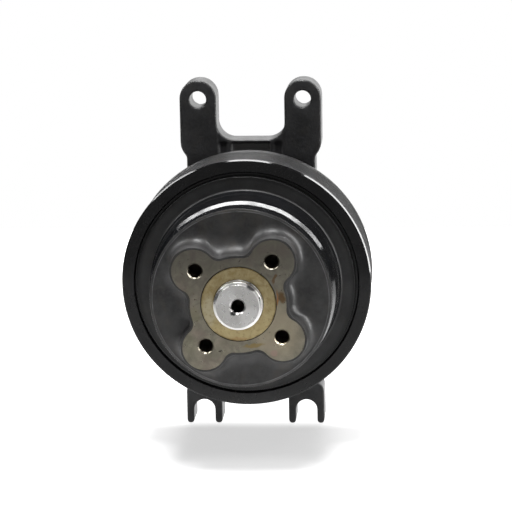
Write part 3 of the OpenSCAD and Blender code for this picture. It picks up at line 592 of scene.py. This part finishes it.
def hub_drum():
    """The hub: lobed boss with cast flanks, drafted drum, disc and the hollow behind them."""
    # numbers of the material slots, in the order of the list given to piece()
    CAST, FACE, THREAD, GLOSS, DISC = range(5)
    columns = 600
    degrees = np.arange(columns) * 360 / columns - lobe_turn
    foot_r = 11.5
    edge_r = 0.45
    draft = 0.03
    rim_limit = 66.4
    cavity_r, collar_r, wall_rear = 62, 39.2, drum_front - 10.5
    bore_r = sleeve_r + 0.02
    lip_r, lip_depth = disc_r - 1.1, pulley_front - 3
    tap_depth, tap_pitch = 24, 1.75
    wall_foot = drum_front + foot_r

    def outline(grow):
        """Radii of the lobed outline, grown outwards."""
        return lobe_edge(degrees, lobe_r + grow, waist_r + grow * 1.2, lobe_fillet + grow * 0.4)

    def wall(station):
        """Radii of the drafted wall at a station."""
        return outline((boss_front - edge_r - station) * draft)

    # the hollow fillet runs from the wall's foot to the outline grown by its radius, inside the drum's edge
    spread = soft_min(outline(foot_r), np.full(columns, rim_limit), 1.6)
    rows = [(boss_front, outline(-1.6))]
    for k in range(4):
        a = math.radians(90 * k / 3)
        rows.append((boss_front - edge_r * (1 - math.cos(a)), outline(-edge_r * (1 - math.sin(a)))))
    for k in range(1, 6):
        station = boss_front - edge_r - (boss_front - edge_r - wall_foot) * k / 6
        rows.append((station, wall(station)))
    foot = wall(wall_foot)
    for k in range(17):
        a = math.radians(90 * k / 16)
        rows.append((wall_foot - foot_r * math.sin(a), foot + (spread - foot) * (1 - math.cos(a))))
    # from the drum's face over its side and the disc, through the hollow behind, back to the bore's mouth
    outside = rounded([
        (67.0, drum_front), (67.3, drum_front, 0.4), (69.1, drum_front - 0.7, 0.35),
        (69.25, drum_front - 17, 1.2), (71.2, drum_front - 22, 1.2), (73.2, disc_front + 7, 2.5),
        (74.7, disc_front + 0.6, 1.7), (lip_r, disc_front, 0.25), (lip_r, lip_depth, 0.3),
        (disc_r, pulley_front - 3.3, 0.2), (disc_r, disc_rear, 0.3), (cavity_r, disc_rear, 0.6),
        (cavity_r, wall_rear, 6.0), (collar_r, wall_rear, 2.5), (collar_r, sleeve_rear, 0.6),
        (bore_r, sleeve_rear, 0.3), (bore_r, boss_front - 0.9), (sleeve_r + 0.5, boss_front)],
        steps=6, closed=False)
    heights = np.array([s for s, _ in rows] + list(outside[:, 1]))
    radii = np.concatenate([np.array([r for _, r in rows]), np.repeat(outside[:, :1], columns, axis=1)])
    disc_row = len(rows) + int(np.argmax(outside[:, 1] < disc_front + 0.4))

    # castings are never quite true: the flanks in front of the disc wander by a tenth of a millimetre or two
    wander = np.zeros_like(radii)
    phase = np.radians(degrees)
    rng = np.random.default_rng(11)
    for waves in range(3, 24):
        amount = rng.normal(0, 0.10) / waves ** 0.5
        turn = rng.uniform(0, 6.28)
        wander += amount * np.cos(waves * phase + turn + heights[:, None] * rng.normal(0, 0.15))
    cast = np.clip((boss_front - 1.5 - heights) / 3, 0, 1) * (heights > disc_front + 3)
    radii[:disc_row] += (wander * cast[:, None])[:disc_row]

    # the cast boss sits a little off the machined centre; the offset fades towards the drum's edge
    points = around_axis(radii, heights, SHAFT, FORWARD).reshape(len(heights), columns, 3)
    fade = np.clip((rim_limit - radii) / 7, 0, 1) * (np.arange(len(heights)) < len(rows))[:, None]
    points = points + fade[..., None] * np.array(cast_shift)

    build = Build()
    shoulder = len(rows) + int(np.argmax(outside[:, 0] > 68.9))
    root = len(rows) + int(np.argmax(outside[:, 0] > 73.4))
    build.grid(points[:shoulder + 1].reshape(-1, 3), shoulder + 1, slot=CAST)
    build.grid(points[shoulder:root + 1].reshape(-1, 3), root + 1 - shoulder, slot=GLOSS)
    last = build.grid(points[root:].reshape(-1, 3), len(heights) - root, slot=DISC)
    loops = [(0, columns), (last + (len(heights) - root - 1) * columns, columns)]
    for k in range(4):
        a = math.radians(lobe_turn + 90 * k)
        centre = SHAFT + Vector((math.cos(a), 0, math.sin(a))) * (lobe_pcd / 2 * MM)
        first = tapped_hole(build, tap_r, tap_depth, tap_pitch, boss_front, centre, FORWARD, THREAD, FACE)
        loops.append((first, HOLE_COLUMNS))
    close_face(build, loops, FORWARD, FACE)
    build.piece("hub_casting", "rotor", [hub_black, lobed_face, thread_steel, drum_gloss, disc_black],
                replaces=["hub_drum"])


# ---- pulley ----

def belt_pulley():
    """The pulley: bright-edged front ring, V-ribbed belt track and the hollow behind its web."""
    rib_count, rib_pitch, rib_depth = 12, 3.56, 2.4
    rib_r, back_r, hollow_r, web_bore_r = pulley_r - 1.2, pulley_r - 0.4, 88, 56
    rib_front = (pulley_front + pulley_rear) / 2 + rib_count * rib_pitch / 2
    web_front, web_rear = disc_rear - 0.02, disc_rear - 8.5
    relief_r, edge, relief = disc_r + 1.6, 0.9, pulley_front - 3
    seam = (pulley_r, pulley_front - edge - 0.6)
    ring = rounded([(disc_r, web_front), (disc_r, relief), (relief_r, relief, 0.6),
                    (relief_r, pulley_front, 1.0), (pulley_r - edge, pulley_front, 0.12),
                    (pulley_r, pulley_front - edge, 0.12), seam], steps=4, closed=False)
    corners = [seam, (pulley_r, rib_front + 1.4, 0.5),
               (rib_r - 0.6, rib_front + 1.4, 0.4), (rib_r - 0.6, rib_front + 0.4, 0.3)]
    for k in range(rib_count):
        top = rib_front - rib_pitch * k
        corners += [(rib_r, top - 0.35, 0.3), (rib_r - rib_depth, top - 1.55, 0.2),
                    (rib_r - rib_depth, top - 2.01, 0.2), (rib_r, top - 3.21, 0.3)]
    corners += [(rib_r, rib_front - rib_count * rib_pitch, 0.2), (back_r, pulley_rear + 4, 0.6),
                (back_r, pulley_rear + 1, 0.5), (pulley_r - 1.4, pulley_rear, 0.5),
                (hollow_r, pulley_rear, 0.8), (hollow_r, web_rear - 3, 3), (hollow_r - 3, web_rear, 3),
                (web_bore_r, web_rear, 0.6), (web_bore_r, web_front, 0.4), (disc_r, web_front)]
    build = Build()
    build.spin(ring, columns=360, loop=False)
    build.spin(rounded(corners, steps=3, closed=False), columns=360, slot=1, loop=False)
    build.piece("ribbed_pulley", "rotor", [pulley_black, belt_track],
                replaces=["belt_pulley"], sharp=50)


# ---- shaft and sleeve ----

def shaft_and_sleeve():
    """The output shaft with its turned end and centre hole, and the sleeve round it."""
    shoulder = station_of(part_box("front_bearing_inner")[1].y)
    front_journal_r, collar_r = 20, 26
    rear_journal_r, rear_shoulder = 22.5, 55
    thread_r, thread_front = 21.5, 24
    socket_r, socket_end = 14.02, 40
    centre_r, centre_depth, mouth_r, mouth_depth = 4.9, 22, 6.2, 1.3
    step = sleeve_rear - 0.05
    build = Build()
    path = rounded([
        (centre_r, stub_front - mouth_depth), (mouth_r, stub_front, 0.15), (stub_r - 1.95, stub_front),
        (stub_r - 1.6, stub_front - 0.35), (stub_r - 0.35, stub_front - 1.1),
        (stub_r, stub_front - 1.45, 0.1), (stub_r, boss_front, 0.1), (seat_r, boss_front, 0.1),
        (seat_r, step, 0.2), (front_journal_r, step, 0.2), (front_journal_r, shoulder, 0.3),
        (collar_r, shoulder, 0.6), (collar_r, rear_shoulder, 0.6), (rear_journal_r, rear_shoulder, 0.3),
        (rear_journal_r, thread_front, 0.5), (thread_r, thread_front, 0.3), (thread_r, shaft_rear, 0.8),
        (socket_r, shaft_rear, 0.8), (socket_r, socket_end, 0.3), (0, socket_end)], steps=4, closed=False)
    build.spin(path, loop=False)
    centre = rounded([(0, stub_front - centre_depth - 3), (centre_r, stub_front - centre_depth, 0.3),
                      (centre_r, stub_front - mouth_depth)], steps=4, closed=False)
    # the centre hole's walls take the second slot, coloured near black as painted shade
    build.spin(centre, loop=False, slot=1)
    build.piece("turned_shaft", "rotor", [shaft_steel, oily_dark],
                replaces=["output_shaft"])
    bore_r, rear = seat_r + 0.02, sleeve_rear + 0.05
    build = Build()
    build.spin(rounded([(bore_r, rear, 0.3), (sleeve_r, rear, 0.5), (sleeve_r, boss_front, 0.45),
                        (bore_r, boss_front, 1.0)], steps=6))
    build.piece("clamping_sleeve", "rotor", [yellow_sleeve],
                replaces=["hub_sleeve"])


# ---- fasteners ----

HEX_COLUMNS = 48


def hex_row(apothem, limit):
    """Radii of a hexagon of that half width across flats, cut down to a round limit."""
    turn = np.arange(HEX_COLUMNS) * 360 / HEX_COLUMNS
    side = np.radians((turn + 30) % 60 - 30)
    return np.minimum(apothem / np.cos(side), limit)


def add_rows(build, rows, origin, axis):
    """Adds a closed surface through (radius or hexagon's radii, height) rows; its ends may be points."""
    radii = np.array([np.full(HEX_COLUMNS, float(r)) if np.isscalar(r) else r for r, _ in rows])
    heights = [h for _, h in rows]
    build.grid(around_axis(radii, heights, origin, axis), len(rows))


def socket_head(build, d, origin, axis, shank):
    """Cap screw standing on origin, with its head along axis: rounded rim, hexagon socket, short shank."""
    r, h, key = 0.78 * d, d, 0.40 * d
    socket = hex_row(key, key * 1.2)
    rows = [(0, -shank), (d / 2 - 0.6, -shank), (d / 2, -shank + 0.8), (d / 2, 0), (r - 0.35, 0), (r, 0.35),
            (r, h - 0.9), (r - 0.25, h - 0.3), (r - 0.85, h), (key * 1.28, h), (socket, h - 0.45),
            (socket, h * 0.5), (key * 0.5, h * 0.5), (0, h * 0.5 - 0.5)]
    add_rows(build, rows, origin, axis)


def hex_bolt(build, across, height, origin, axis, shank_r, shank):
    """Hexagon-head bolt standing on origin, with a washer face, chamfered corners and a dished top."""
    a = across / 2
    head = hex_row(a, across)
    rows = [(0, -shank), (shank_r - 0.6, -shank), (shank_r, -shank + 0.8), (shank_r, 0), (a * 0.97, 0),
            (a * 0.97, 0.3), (hex_row(a, a * 1.10), 0.35), (head, 0.9), (head, height - 1.1),
            (hex_row(a, a * 1.09), height - 0.45), (a * 0.96, height), (a * 0.80, height),
            (a * 0.74, height - 0.25), (0, height - 0.25)]
    add_rows(build, rows, origin, axis)


def washer(build, r_in, r_out, thickness, origin, axis):
    """Flat washer with rounded edges standing on origin."""
    build.spin(rounded([(r_in, 0, 0.2), (r_out, 0, 0.35), (r_out, thickness, 0.35), (r_in, thickness, 0.2)],
                       steps=3), origin, axis, columns=72)


def solid_boxes(node):
    """Box of each separate solid of a CAD node, lowest and highest corner, in a fixed order."""
    work = bmesh.new()
    work.from_mesh(frame["nodes"][node].data)
    bmesh.ops.remove_doubles(work, verts=work.verts, dist=1e-6)
    seen, boxes = set(), []
    for start in work.verts:
        if start in seen:
            continue
        stack, group = [start], []
        seen.add(start)
        while stack:
            v = stack.pop()
            group.append(v.co)
            for edge in v.link_edges:
                other = edge.other_vert(v)
                if other not in seen:
                    seen.add(other)
                    stack.append(other)
        points = np.array(group)
        boxes.append((Vector(points.min(0)), Vector(points.max(0))))
    work.free()
    return sorted(boxes, key=lambda b: (round(b[0].x, 4), round(b[0].z, 4), round(b[0].y, 4)))


def stand(box, y):
    """Point at y on the centre line, along Y, of a solid with this box."""
    middle = (box[0] + box[1]) / 2
    return Vector((middle.x, y, middle.z))


def fasteners():
    """Screws, bolts and washers, each group standing where its CAD node has its solids."""
    back = -FORWARD
    screw_d, nose_shank, pulley_shank = 8, 27.5, 13.5
    seat = station_of(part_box("nose_bolts")[0].y) - screw_d
    build = Build()
    for box in solid_boxes("nose_bolts"):
        socket_head(build, screw_d, stand(box, REAR - seat * MM), FORWARD, nose_shank)
    build.piece("nose_cap_screws", "housing", [black_oxide],
                replaces=["nose_bolts"], sharp=30)
    build = Build()
    for box in solid_boxes("pulley_screws"):
        socket_head(build, screw_d, stand(box, box[1].y - screw_d * MM), back, pulley_shank)
    build.piece("pulley_cap_screws", "rotor", [black_oxide],
                replaces=["pulley_screws"], sharp=30)
    for name, node, across, height, shank_r, shank in (
            ("motor_bolts", "through_bolts", 15.8, 6.4, 4.2, 90),
            ("motor_flange_bolts", "flange_bolts", 17.8, 7.5, 5.05, 36)):
        build = Build()
        for box in solid_boxes(node):
            hex_bolt(build, across, height, stand(box, box[1].y - height * MM), back, shank_r, shank)
        build.piece(name, "housing", [zinc], replaces=[node], sharp=30)
    for name, node, r_in in (("motor_bolt_washers", "through_washers", 5.3),
                             ("flange_bolt_washers", "flange_washers", 6.5)):
        build = Build()
        for low, high in solid_boxes(node):
            thick = (high.y - low.y) / MM
            washer(build, r_in, (high.x - low.x) / 2 / MM, thick, stand((low, high), low.y), back)
        build.piece(name, "housing", [zinc], replaces=[node], sharp=30)


def drain_plug():
    """The plug in the case's drain, with a hexagon socket, and the copper ring under its head."""
    head_r, head, shank_r, shank = 9, 3, 5.85, 11
    key, key_limit = 3.46 * math.cos(math.pi / 6), 4.2
    up = Vector((0, 0, 1))
    low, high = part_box("drain_plug")
    middle = (low + high) / 2
    socket = hex_row(key, key_limit)
    rows = [(0, -shank), (5.2, -shank), (shank_r, 1 - shank), (shank_r, 0), (8.7, 0), (head_r, 0.3),
            (head_r, 2.4), (8.4, head), (4.6, head), (socket, 2.6), (socket, 0.2), (0, 0)]
    build = Build()
    add_rows(build, rows, Vector((middle.x, middle.y, high.z - head * MM)), up)
    build.piece("case_drain_plug", "housing", [zinc], replaces=["drain_plug"], sharp=30)
    low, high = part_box("drain_seal")
    build = Build()
    washer(build, 6.1, 8.8, (high.z - low.z) / MM, Vector((middle.x, middle.y, low.z)), up)
    build.piece("case_drain_washer", "housing", [copper], replaces=["drain_seal"], sharp=30)


# ---- castings from the CAD shapes ----

def cast_copy(node, name, body, materials, voxel, rounds):
    """A rounded casting of a CAD node: its solid rebuilt on a grid of voxel mm, then smoothed in rounds."""
    mesh = frame["nodes"][node].data.copy()
    mesh.materials.clear()
    work = bmesh.new()
    work.from_mesh(mesh)
    bmesh.ops.remove_doubles(work, verts=work.verts, dist=1e-6)
    work.to_mesh(mesh)
    work.free()
    obj = bpy.data.objects.new(name + "_rough", mesh)
    bpy.context.scene.collection.objects.link(obj)
    grid = obj.modifiers.new("grid", "REMESH")
    grid.mode = "VOXEL"
    grid.voxel_size = voxel * MM
    worn = obj.modifiers.new("worn", "SMOOTH")
    worn.factor = 0.5
    worn.iterations = rounds
    bpy.context.view_layer.update()
    made = bpy.data.meshes.new_from_object(obj.evaluated_get(bpy.context.evaluated_depsgraph_get()))
    bpy.data.objects.remove(obj)
    made.name = name
    made.materials.clear()
    low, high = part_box(node)
    points = np.zeros(len(made.vertices) * 3)
    made.vertices.foreach_get("co", points)
    points = np.clip(points.reshape(-1, 3), np.array(low), np.array(high))
    made.vertices.foreach_set("co", points.ravel())
    return finish_piece(made, name, body, materials, [node], sharp=180)


def castings():
    """Bracket and motor casings, with the rounded edges of painted castings, and the ports' threads."""
    cast_copy("mounting_bracket", "cast_bracket", "housing", [black_cast], 1.0, 4)
    cast_copy("front_cover", "motor_front_cover", "housing", [motor_grey], 0.9, 5)
    cast_copy("gear_body", "motor_gear_body", "housing", [motor_grey], 1.02, 4)
    cast_copy("rear_cover", "motor_rear_cover", "housing", [motor_grey], 0.9, 5)
    columns, pitch, depth = 96, 1.81, 16
    for side, name in ((1, "right"), (-1, "left")):
        mount = MOUNTS["port_" + name]
        centre = Vector((0, mount["pos_m"][1], mount["pos_m"][2]))
        build = Build()
        radii, heights = threaded_rows(port_r - 1.45, depth, pitch, motor_half_w, columns)
        keep = heights > motor_half_w - 15.5
        radii, heights = np.minimum(radii[keep], port_r - 0.05), heights[keep]
        outer = np.full((1, columns), port_r + 0.9)
        lip = np.full((1, columns), port_r - 0.2)
        radii = np.concatenate([outer, lip, radii, outer])
        front = motor_half_w - 0.02
        heights = np.concatenate([[front, front], heights, [motor_half_w - 15.6]])
        build.grid(around_axis(radii, heights, centre, Vector((side, 0, 0))), len(radii), loop=True)
        build.piece("port_thread_" + name, "housing", [thread_steel], sharp=30)


def carried_over():
    """Every CAD node that still shows gets its slot's procedural material."""
    slots = {m["slot"]: m for m in frame["record"]["materials"]}
    for node, obj in frame["nodes"].items():
        if obj.hide_render:
            continue
        given = obj.data.materials[0].name.split(".")[0] if len(obj.data.materials) else ""
        name = given if given in slots else "gear_steel"
        obj.data.materials.clear()
        obj.data.materials.append(SLOT_FINISH[name])


# ---- stage, lights and camera ----

def pale_floor():
    """A large pale table top under the feet, which ends 0.6 m in front of the shaft."""
    mesh = bpy.data.meshes.new("floor")
    half, front, back, level = 1.5, -0.60, 1.00, cad_box[0].z
    mesh.from_pydata([(-half, front, level), (half, front, level), (half, back, level), (-half, back, level)],
                     [], [(0, 1, 2, 3)])
    f = Finish("pale_floor")
    f.set(base_color=f.mix(f.ramp(f.noise(120, 2), 0.3, 0.7), (0.86, 0.86, 0.86), (0.88, 0.88, 0.88)))
    f.set(roughness=0.75)
    # the table glows softly as painted light, most behind the feet and beside them, less in a band under the
    # hub as a painted shadow, and not at the front or the far sides
    place = f.node("ShaderNodeSeparateXYZ", {0: f.place})
    depth = place.outputs["Y"]
    aside = f.calc("ABSOLUTE", place.outputs["X"])
    behind = f.calc("MULTIPLY", f.ramp(depth, 0.125, 0.165, 0, 0.75, smooth=True),
                    f.ramp(aside, 0.34, 0.46, 1, 0, smooth=True))
    near = f.ramp(depth, -0.14, 0.0, 0, 0.70, smooth=True)
    # painted shadow: the glow dips in a band under the hub
    under = f.ramp(depth, 0.015, 0.065, 0, 0.14, smooth=True)
    beside = f.calc("MULTIPLY", f.ramp(aside, 0.045, 0.085, smooth=True),
                    f.ramp(depth, -0.05, 0.05, 0, 0.24))
    painted_floor_glow = f.calc("ADD", f.calc("SUBTRACT", f.calc("ADD", behind, near), under), beside)
    f.set(emission_color=(1, 1, 1, 1), emission_strength=painted_floor_glow)
    mesh.materials.append(f.material)
    obj = bpy.data.objects.new("floor", mesh)
    bpy.context.scene.collection.objects.link(obj)


def soft_light(name, position, aim, width, height, radiance, along=(1, 0, 0), lights_matt=True):
    """A soft box that the camera doesn't see: its width runs along a direction, its light is in W/m2/sr."""
    data = bpy.data.lights.new(name, "AREA")
    data.shape = "RECTANGLE"
    data.size, data.size_y, data.energy = width, height, radiance * math.pi * width * height
    obj = bpy.data.objects.new(name, data)
    bpy.context.scene.collection.objects.link(obj)
    away = (Vector(position) - Vector(aim)).normalized()
    side = Vector(along)
    side = (side - away * side.dot(away)).normalized()
    obj.location = position
    obj.rotation_mode = "QUATERNION"
    obj.rotation_quaternion = Matrix((side, away.cross(side), away)).transposed().to_quaternion()
    obj.visible_camera = False
    obj.visible_diffuse = lights_matt


def lights():
    """A box overhead, a strip on each side and an arch of five boxes behind."""
    soft_light("top_box", (-0.03, -0.06, 1.15), (-0.03, -0.059, 0), 0.46, 0.40, 30)
    soft_light("right_box", (1.03, -0.05, 0.50), (0, -0.02, 0.02), 1.55, 0.17, 32,
               along=(-0.18, -0.19, 1.36), lights_matt=False)
    soft_light("left_box", (-0.99, -0.08, 0.97), (-0.06, 0.07, 0.07), 0.68, 0.14, 30,
               along=(0.61, -0.17, 0.77), lights_matt=False)
    for k in range(5):
        turn = math.radians(-49 + 26.4 * k)
        position = (1.5 * math.sin(turn), 1.2, 0.06 + 1.5 * math.cos(turn))
        soft_light("arch_box_%d" % k, position, (0, 0.04, 0.06), 0.72, 0.17 * math.cos(turn) ** 2, 23,
                   along=(math.cos(turn), 0, -math.sin(turn)), lights_matt=False)


def room():
    """Surroundings that look white to the camera and light the object unevenly."""
    world = bpy.data.worlds.new("room")
    bpy.context.scene.world = world
    world.use_nodes = True
    tree = world.node_tree
    tree.nodes.clear()
    add, link = tree.nodes.new, tree.links.new
    out = add("ShaderNodeOutputWorld")
    seen, felt = add("ShaderNodeBackground"), add("ShaderNodeBackground")
    pick, ray = add("ShaderNodeMixShader"), add("ShaderNodeLightPath")
    seen.inputs["Color"].default_value = (1, 1, 1, 1)
    seen.inputs["Strength"].default_value = 1.0
    direction, split = add("ShaderNodeTexCoord"), add("ShaderNodeSeparateXYZ")
    link(direction.outputs["Generated"], split.inputs[0])

    def fade(axis, low, high, start, end):
        """Strength that goes softly from start to end as a direction's X, Y or Z goes from low to high."""
        made = add("ShaderNodeMapRange")
        made.interpolation_type = "SMOOTHSTEP"
        for key, value in (("From Min", low), ("From Max", high), ("To Min", start), ("To Max", end)):
            made.inputs[key].default_value = value
        link(split.outputs[axis], made.inputs["Value"])
        return made.outputs["Result"]

    # bright behind but not to the left, dark at the sides, dim in front
    behind, total = add("ShaderNodeMath"), add("ShaderNodeMath")
    behind.operation = "MULTIPLY"
    link(fade("Y", 0.70, 0.97, 0.07, 1.9), behind.inputs[0])
    link(fade("X", -0.26, -0.10, 0.15, 1), behind.inputs[1])
    link(behind.outputs[0], total.inputs[0])
    link(fade("Y", -1.0, -0.55, 0.34, 0), total.inputs[1])
    link(total.outputs[0], felt.inputs["Strength"])
    link(ray.outputs["Is Camera Ray"], pick.inputs[0])
    link(felt.outputs[0], pick.inputs[1])
    link(seen.outputs[0], pick.inputs[2])
    link(pick.outputs[0], out.inputs["Surface"])


def camera():
    """Long lens a little above and to the right of the shaft, aimed near the pulley's front face."""
    azimuth, elevation, roll = (math.radians(d) for d in (4.47, 11.45, -1.04))
    distance, lens, sensor = 1.700, 153.28125, 36
    shift_right, shift_up = 0.00771, 0.02153
    back = Vector((math.sin(azimuth) * math.cos(elevation), -math.cos(azimuth) * math.cos(elevation),
                   math.sin(elevation)))
    level = Vector((math.cos(azimuth), math.sin(azimuth), 0))
    upright = back.cross(level)
    right = level * math.cos(roll) + upright * math.sin(roll)
    up = upright * math.cos(roll) - level * math.sin(roll)
    target = Vector((0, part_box("belt_pulley")[0].y, 0))
    data = bpy.data.cameras.new("camera")
    data.sensor_width = sensor
    data.lens = lens
    data.clip_start, data.clip_end = 0.05, 50
    obj = bpy.data.objects.new("camera", data)
    bpy.context.scene.collection.objects.link(obj)
    obj.location = target + back * distance + right * shift_right + up * shift_up
    obj.rotation_mode = "QUATERNION"
    obj.rotation_quaternion = Matrix((right, up, back)).transposed().to_quaternion()
    bpy.context.scene.camera = obj


hub_drum()
belt_pulley()
shaft_and_sleeve()
fasteners()
drain_plug()
castings()
carried_over()
pale_floor()
lights()
room()
camera()
bpy.context.scene.view_settings.view_transform = "Standard"
